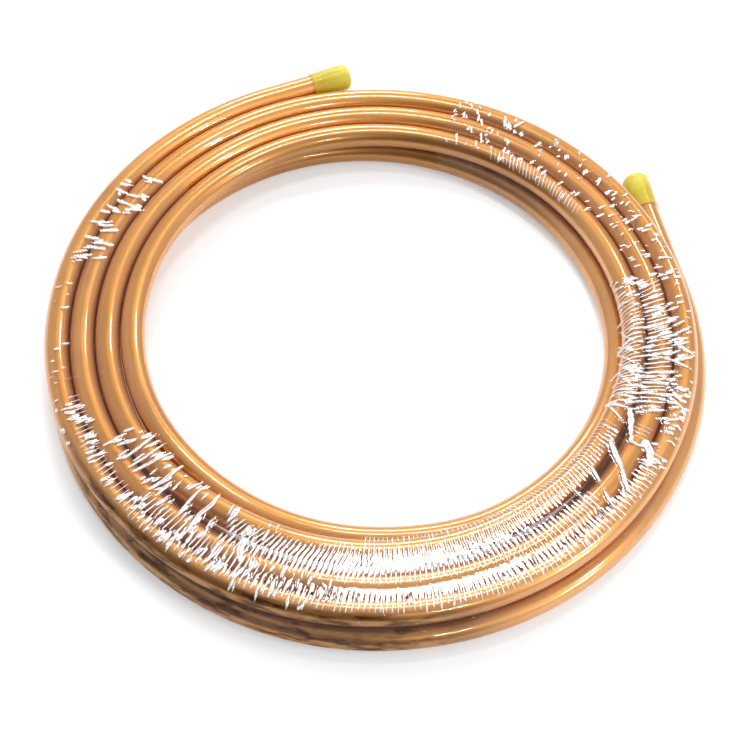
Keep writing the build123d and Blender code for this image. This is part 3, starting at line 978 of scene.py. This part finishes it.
class COIL_OT_caps(bpy.types.Operator):
    """Adds the vinyl caps on the tube's two ends"""
    bl_idname = "coil.caps"
    bl_label = "End caps"

    def execute(self, context):
        coil, caps = context.scene.coil_tube, context.scene.coil_caps
        line = centre_line(coil)
        material = vinyl_material(caps)
        for node, cut, way in (
            ("cap_upper_end", line[0], line[0] - line[1]),
            ("cap_lower_end", line[-1], line[-1] - line[-2]),
        ):
            profile, way = self.profile(caps), unit(way)
            centres = cut + profile[:, :1] * way
            rings = carried(centres, np.broadcast_to(way, centres.shape), profile[:, 1], caps.sides)
            points, faces = closed_along(rings)
            turned = np.linspace(0, FULL, caps.sides, endpoint=False)
            drawn = caps.outer_radius * np.broadcast_to(bearing(turned), rings[1:-1].shape).copy()
            drawn[..., 2] = profile[1:-1, :1]
            drawn = np.concatenate([drawn.reshape(-1, 3), [[0, 0, profile[0, 0]], [0, 0, profile[-1, 0]]]])
            name = node.replace("cap_", "vinyl_cap_")
            new_piece(name, points, faces, {"along": drawn}, material, [node])
        return {"FINISHED"}

    def profile(self, caps):
        """Distance past the cut end and radius: up the bore to the mouth, round its lip, back outside to the tip."""
        quarter = np.linspace(0, np.pi / 2, 10)
        mouth, inside, tip = -caps.overlap, caps.end_gap, caps.end_gap + caps.end_wall
        bore, outer, small = caps.inner_radius, caps.outer_radius, caps.rounding - 0.9 * MM
        lip = (outer - bore) / 2
        hollow = [(inside, 0), (inside, bore - small)]
        hollow += [(inside - small + small * np.cos(a), bore - small + small * np.sin(a)) for a in quarter[1:]]
        hollow += [(s, bore) for s in np.linspace(inside - small, mouth + lip, 8)[1:]]
        rim = [(mouth + lip - lip * np.sin(a), bore + lip - lip * np.cos(a)) for a in np.linspace(0, np.pi, 9)[1:]]
        skin = [(s, outer) for s in np.linspace(mouth + lip, tip - caps.rounding, 14)[1:]]
        curve = caps.rounding
        skin += [(tip - curve + curve * np.sin(a), outer - curve + curve * np.cos(a)) for a in quarter[1:]]
        skin += [(tip + 0.05 * MM, (outer - caps.rounding) / 2), (tip + 0.08 * MM, 0)]
        return np.array(hollow + rim + skin, float)


class COIL_OT_film(bpy.types.Operator):
    """Adds the clear film drawn over the turns"""
    bl_idname = "coil.film"
    bl_label = "Clear film"

    def execute(self, context):
        coil, film = context.scene.coil_tube, context.scene.coil_film
        points, faces, values = film_surface(coil, film)
        used = np.unique(faces)
        number = np.zeros(len(points), int)
        number[used] = np.arange(len(used))
        values = {name: array[used] for name, array in values.items()}
        material = film_material(film)
        sleeve = new_piece("film_sleeve", points[used], [number[faces]], values, material, ["film_wrap"])
        return {"FINISHED"}


class COIL_OT_stage(bpy.types.Operator):
    """Adds the floor, the light of the room, the lamps and the camera"""
    bl_idname = "coil.stage"
    bl_label = "Floor, light and camera"

    def execute(self, context):
        scene, stage = context.scene, context.scene.coil_stage
        scene.view_settings.view_transform = "Standard"
        self.floor(stage)
        self.room(scene, stage)
        self.lamp("glare box", (0.082, 0.307, 1.0), (0.300, 0.110), 1.7, target=(0.082, 0.307, 0.0))
        self.lamp("left spark", (1.32, -0.56, 1.38), (0.22, 0.04), 4.0)
        self.lamp("back spark", (0.78, 1.30, 1.48), (0.22, 0.04), 4.0)
        self.lamp("right spark", (1.50, -1.02, 0.80), (0.34, 0.04), 6.0)
        self.lamp("front spark", (0.57, -1.40, 1.35), (0.28, 0.04), 5.0)
        self.lamp("soft key", (-0.45, 1.3, 1.5), (0.9, 0.9), 17.0, mirrored=False)
        self.lamp("back panel", (-0.15, 1.5, 1.0), (0.5, 0.25), 6.0)
        self.camera(scene, stage)
        return {"FINISHED"}

    def floor(self, stage):
        """A level disc: rings of growing radius about a middle point."""
        sides = 96
        radii, turned = np.linspace(0.1, 2.6, 26), np.linspace(0, FULL, sides, endpoint=False)
        points = (radii[:, None, None] * bearing(turned)).reshape(-1, 3)
        points = np.concatenate([points, [[0, 0, 0]]])
        mesh = bpy.data.meshes.new("floor")
        quads = ring_faces(len(radii), sides)
        fan = pole_faces(len(points) - 1, 0, sides, True)
        mesh.from_pydata(points.tolist(), [], quads.tolist() + fan.tolist())
        mesh.materials.append(floor_material(stage))
        floor = bpy.data.objects.new("floor", mesh)
        bpy.context.scene.collection.objects.link(floor)

    def room(self, scene, stage):
        """Even light from all round, with a tall bright strip behind the coil, a dark side at the front left and a
        dark patch overhead. The camera sees plain white."""
        world = bpy.data.worlds.new("room")
        world.use_nodes = True
        tree = world.node_tree
        tree.nodes.clear()
        way = put(tree, "ShaderNodeTexCoord").outputs["Generated"]
        way = put(tree, "ShaderNodeVectorMath", {0: way}, operation="NORMALIZE").outputs[0]
        part = put(tree, "ShaderNodeSeparateXYZ", {0: way}).outputs
        strip = mapped(tree, sum_of(tree, "ABSOLUTE", part["X"]), 0.04, 0.32, 1.0, 0.0)
        strip = product(tree, strip, mapped(tree, part["Y"], -0.05, 0.20))
        strip = product(tree, strip, mapped(tree, part["Z"], 0.02, 0.30))
        light = sum_of(tree, "MULTIPLY_ADD", strip, stage.strip, stage.sky)
        light = product(tree, light, self.shade(tree, way, (-0.45, -0.85, 0.25), 58, 30, 0.12))
        light = product(tree, light, self.shade(tree, way, (0.0, 0.54, 0.84), 26, 14, 0.35))
        plain = put(tree, "ShaderNodeBackground", {"Color": (1, 1, 1, 1), "Strength": light})
        white = put(tree, "ShaderNodeBackground", {"Color": (1, 1, 1, 1), "Strength": 1.0})
        eye = put(tree, "ShaderNodeLightPath").outputs["Is Camera Ray"]
        either = put(tree, "ShaderNodeMixShader", {0: eye, 1: plain.outputs[0], 2: white.outputs[0]})
        put(tree, "ShaderNodeOutputWorld", {"Surface": either.outputs[0]})
        lay_out(tree)
        scene.world = world

    def shade(self, tree, way, toward, wide, narrow, least):
        """One outside a wide cone about a direction, and a least share of the light inside a narrow one."""
        toward = Vector(toward).normalized()
        facing = put(tree, "ShaderNodeVectorMath", {0: way, 1: toward}, operation="DOT_PRODUCT").outputs["Value"]
        return mapped(tree, facing, float(np.cos(np.radians(wide))), float(np.cos(np.radians(narrow))), 1.0, least)

    def lamp(self, name, place, size, power, target=(0, 0, 0), mirrored=True):
        """A flat lamp that faces a point. One that isn't mirrored lights what is dull alone."""
        light = bpy.data.lights.new(name, "AREA")
        light.shape = "RECTANGLE"
        light.size, light.size_y = size
        light.energy = power
        lamp = bpy.data.objects.new(name, light)
        lamp.visible_glossy = mirrored
        facing = (Vector(place) - Vector(target)).to_track_quat("Z", "Y")
        lamp.matrix_world = Matrix.Translation(place) @ facing.to_matrix().to_4x4()
        bpy.context.scene.collection.objects.link(lamp)

    def camera(self, scene, stage):
        """Looks down at the coil from the front, as in the photograph."""
        lens = bpy.data.cameras.new("camera")
        lens.lens, lens.sensor_width = 74.94, 36.0
        lens.shift_x, lens.shift_y = -0.0008, -0.0095
        camera = bpy.data.objects.new("camera", lens)
        tilt = Matrix.Rotation(np.pi / 2 - stage.camera_tilt, 4, "X")
        roll = Matrix.Rotation(stage.camera_roll, 4, "Z")
        camera.matrix_world = Matrix.Translation(stage.camera_place) @ tilt @ roll
        scene.collection.objects.link(camera)
        scene.camera = camera


class COIL_PT_panel(bpy.types.Panel):
    """Lists the coil's settings and pieces"""
    bl_idname = "COIL_PT_panel"
    bl_label = "Tube Coil"
    bl_space_type = "VIEW_3D"
    bl_region_type = "UI"
    bl_category = "Tube Coil"

    def draw(self, context):
        for operator, settings in ((COIL_OT_tube, "coil_tube"), (COIL_OT_caps, "coil_caps"),
                                   (COIL_OT_film, "coil_film"), (COIL_OT_stage, "coil_stage")):
            box = self.layout.box()
            box.operator(operator.bl_idname)
            group = getattr(context.scene, settings)
            for name in group.bl_rna.properties.keys():
                if name not in ("rna_type", "name"):
                    box.prop(group, name)


SETTINGS = {"coil_tube": CoilTube, "coil_caps": CoilCaps, "coil_film": CoilFilm, "coil_stage": CoilStage}
CLASSES = (*SETTINGS.values(), COIL_OT_tube, COIL_OT_caps, COIL_OT_film, COIL_OT_stage, COIL_PT_panel)


def register():
    for cls in CLASSES:
        bpy.utils.register_class(cls)
    for name, group in SETTINGS.items():
        setattr(bpy.types.Scene, name, bpy.props.PointerProperty(type=group))


def unregister():
    for name in SETTINGS:
        delattr(bpy.types.Scene, name)
    for cls in reversed(CLASSES):
        bpy.utils.unregister_class(cls)


def main():
    """Builds every piece and the stage."""
    register()
    bpy.ops.coil.tube()
    bpy.ops.coil.caps()
    bpy.ops.coil.film()
    bpy.ops.coil.stage()


if __name__ == "__main__":
    main()
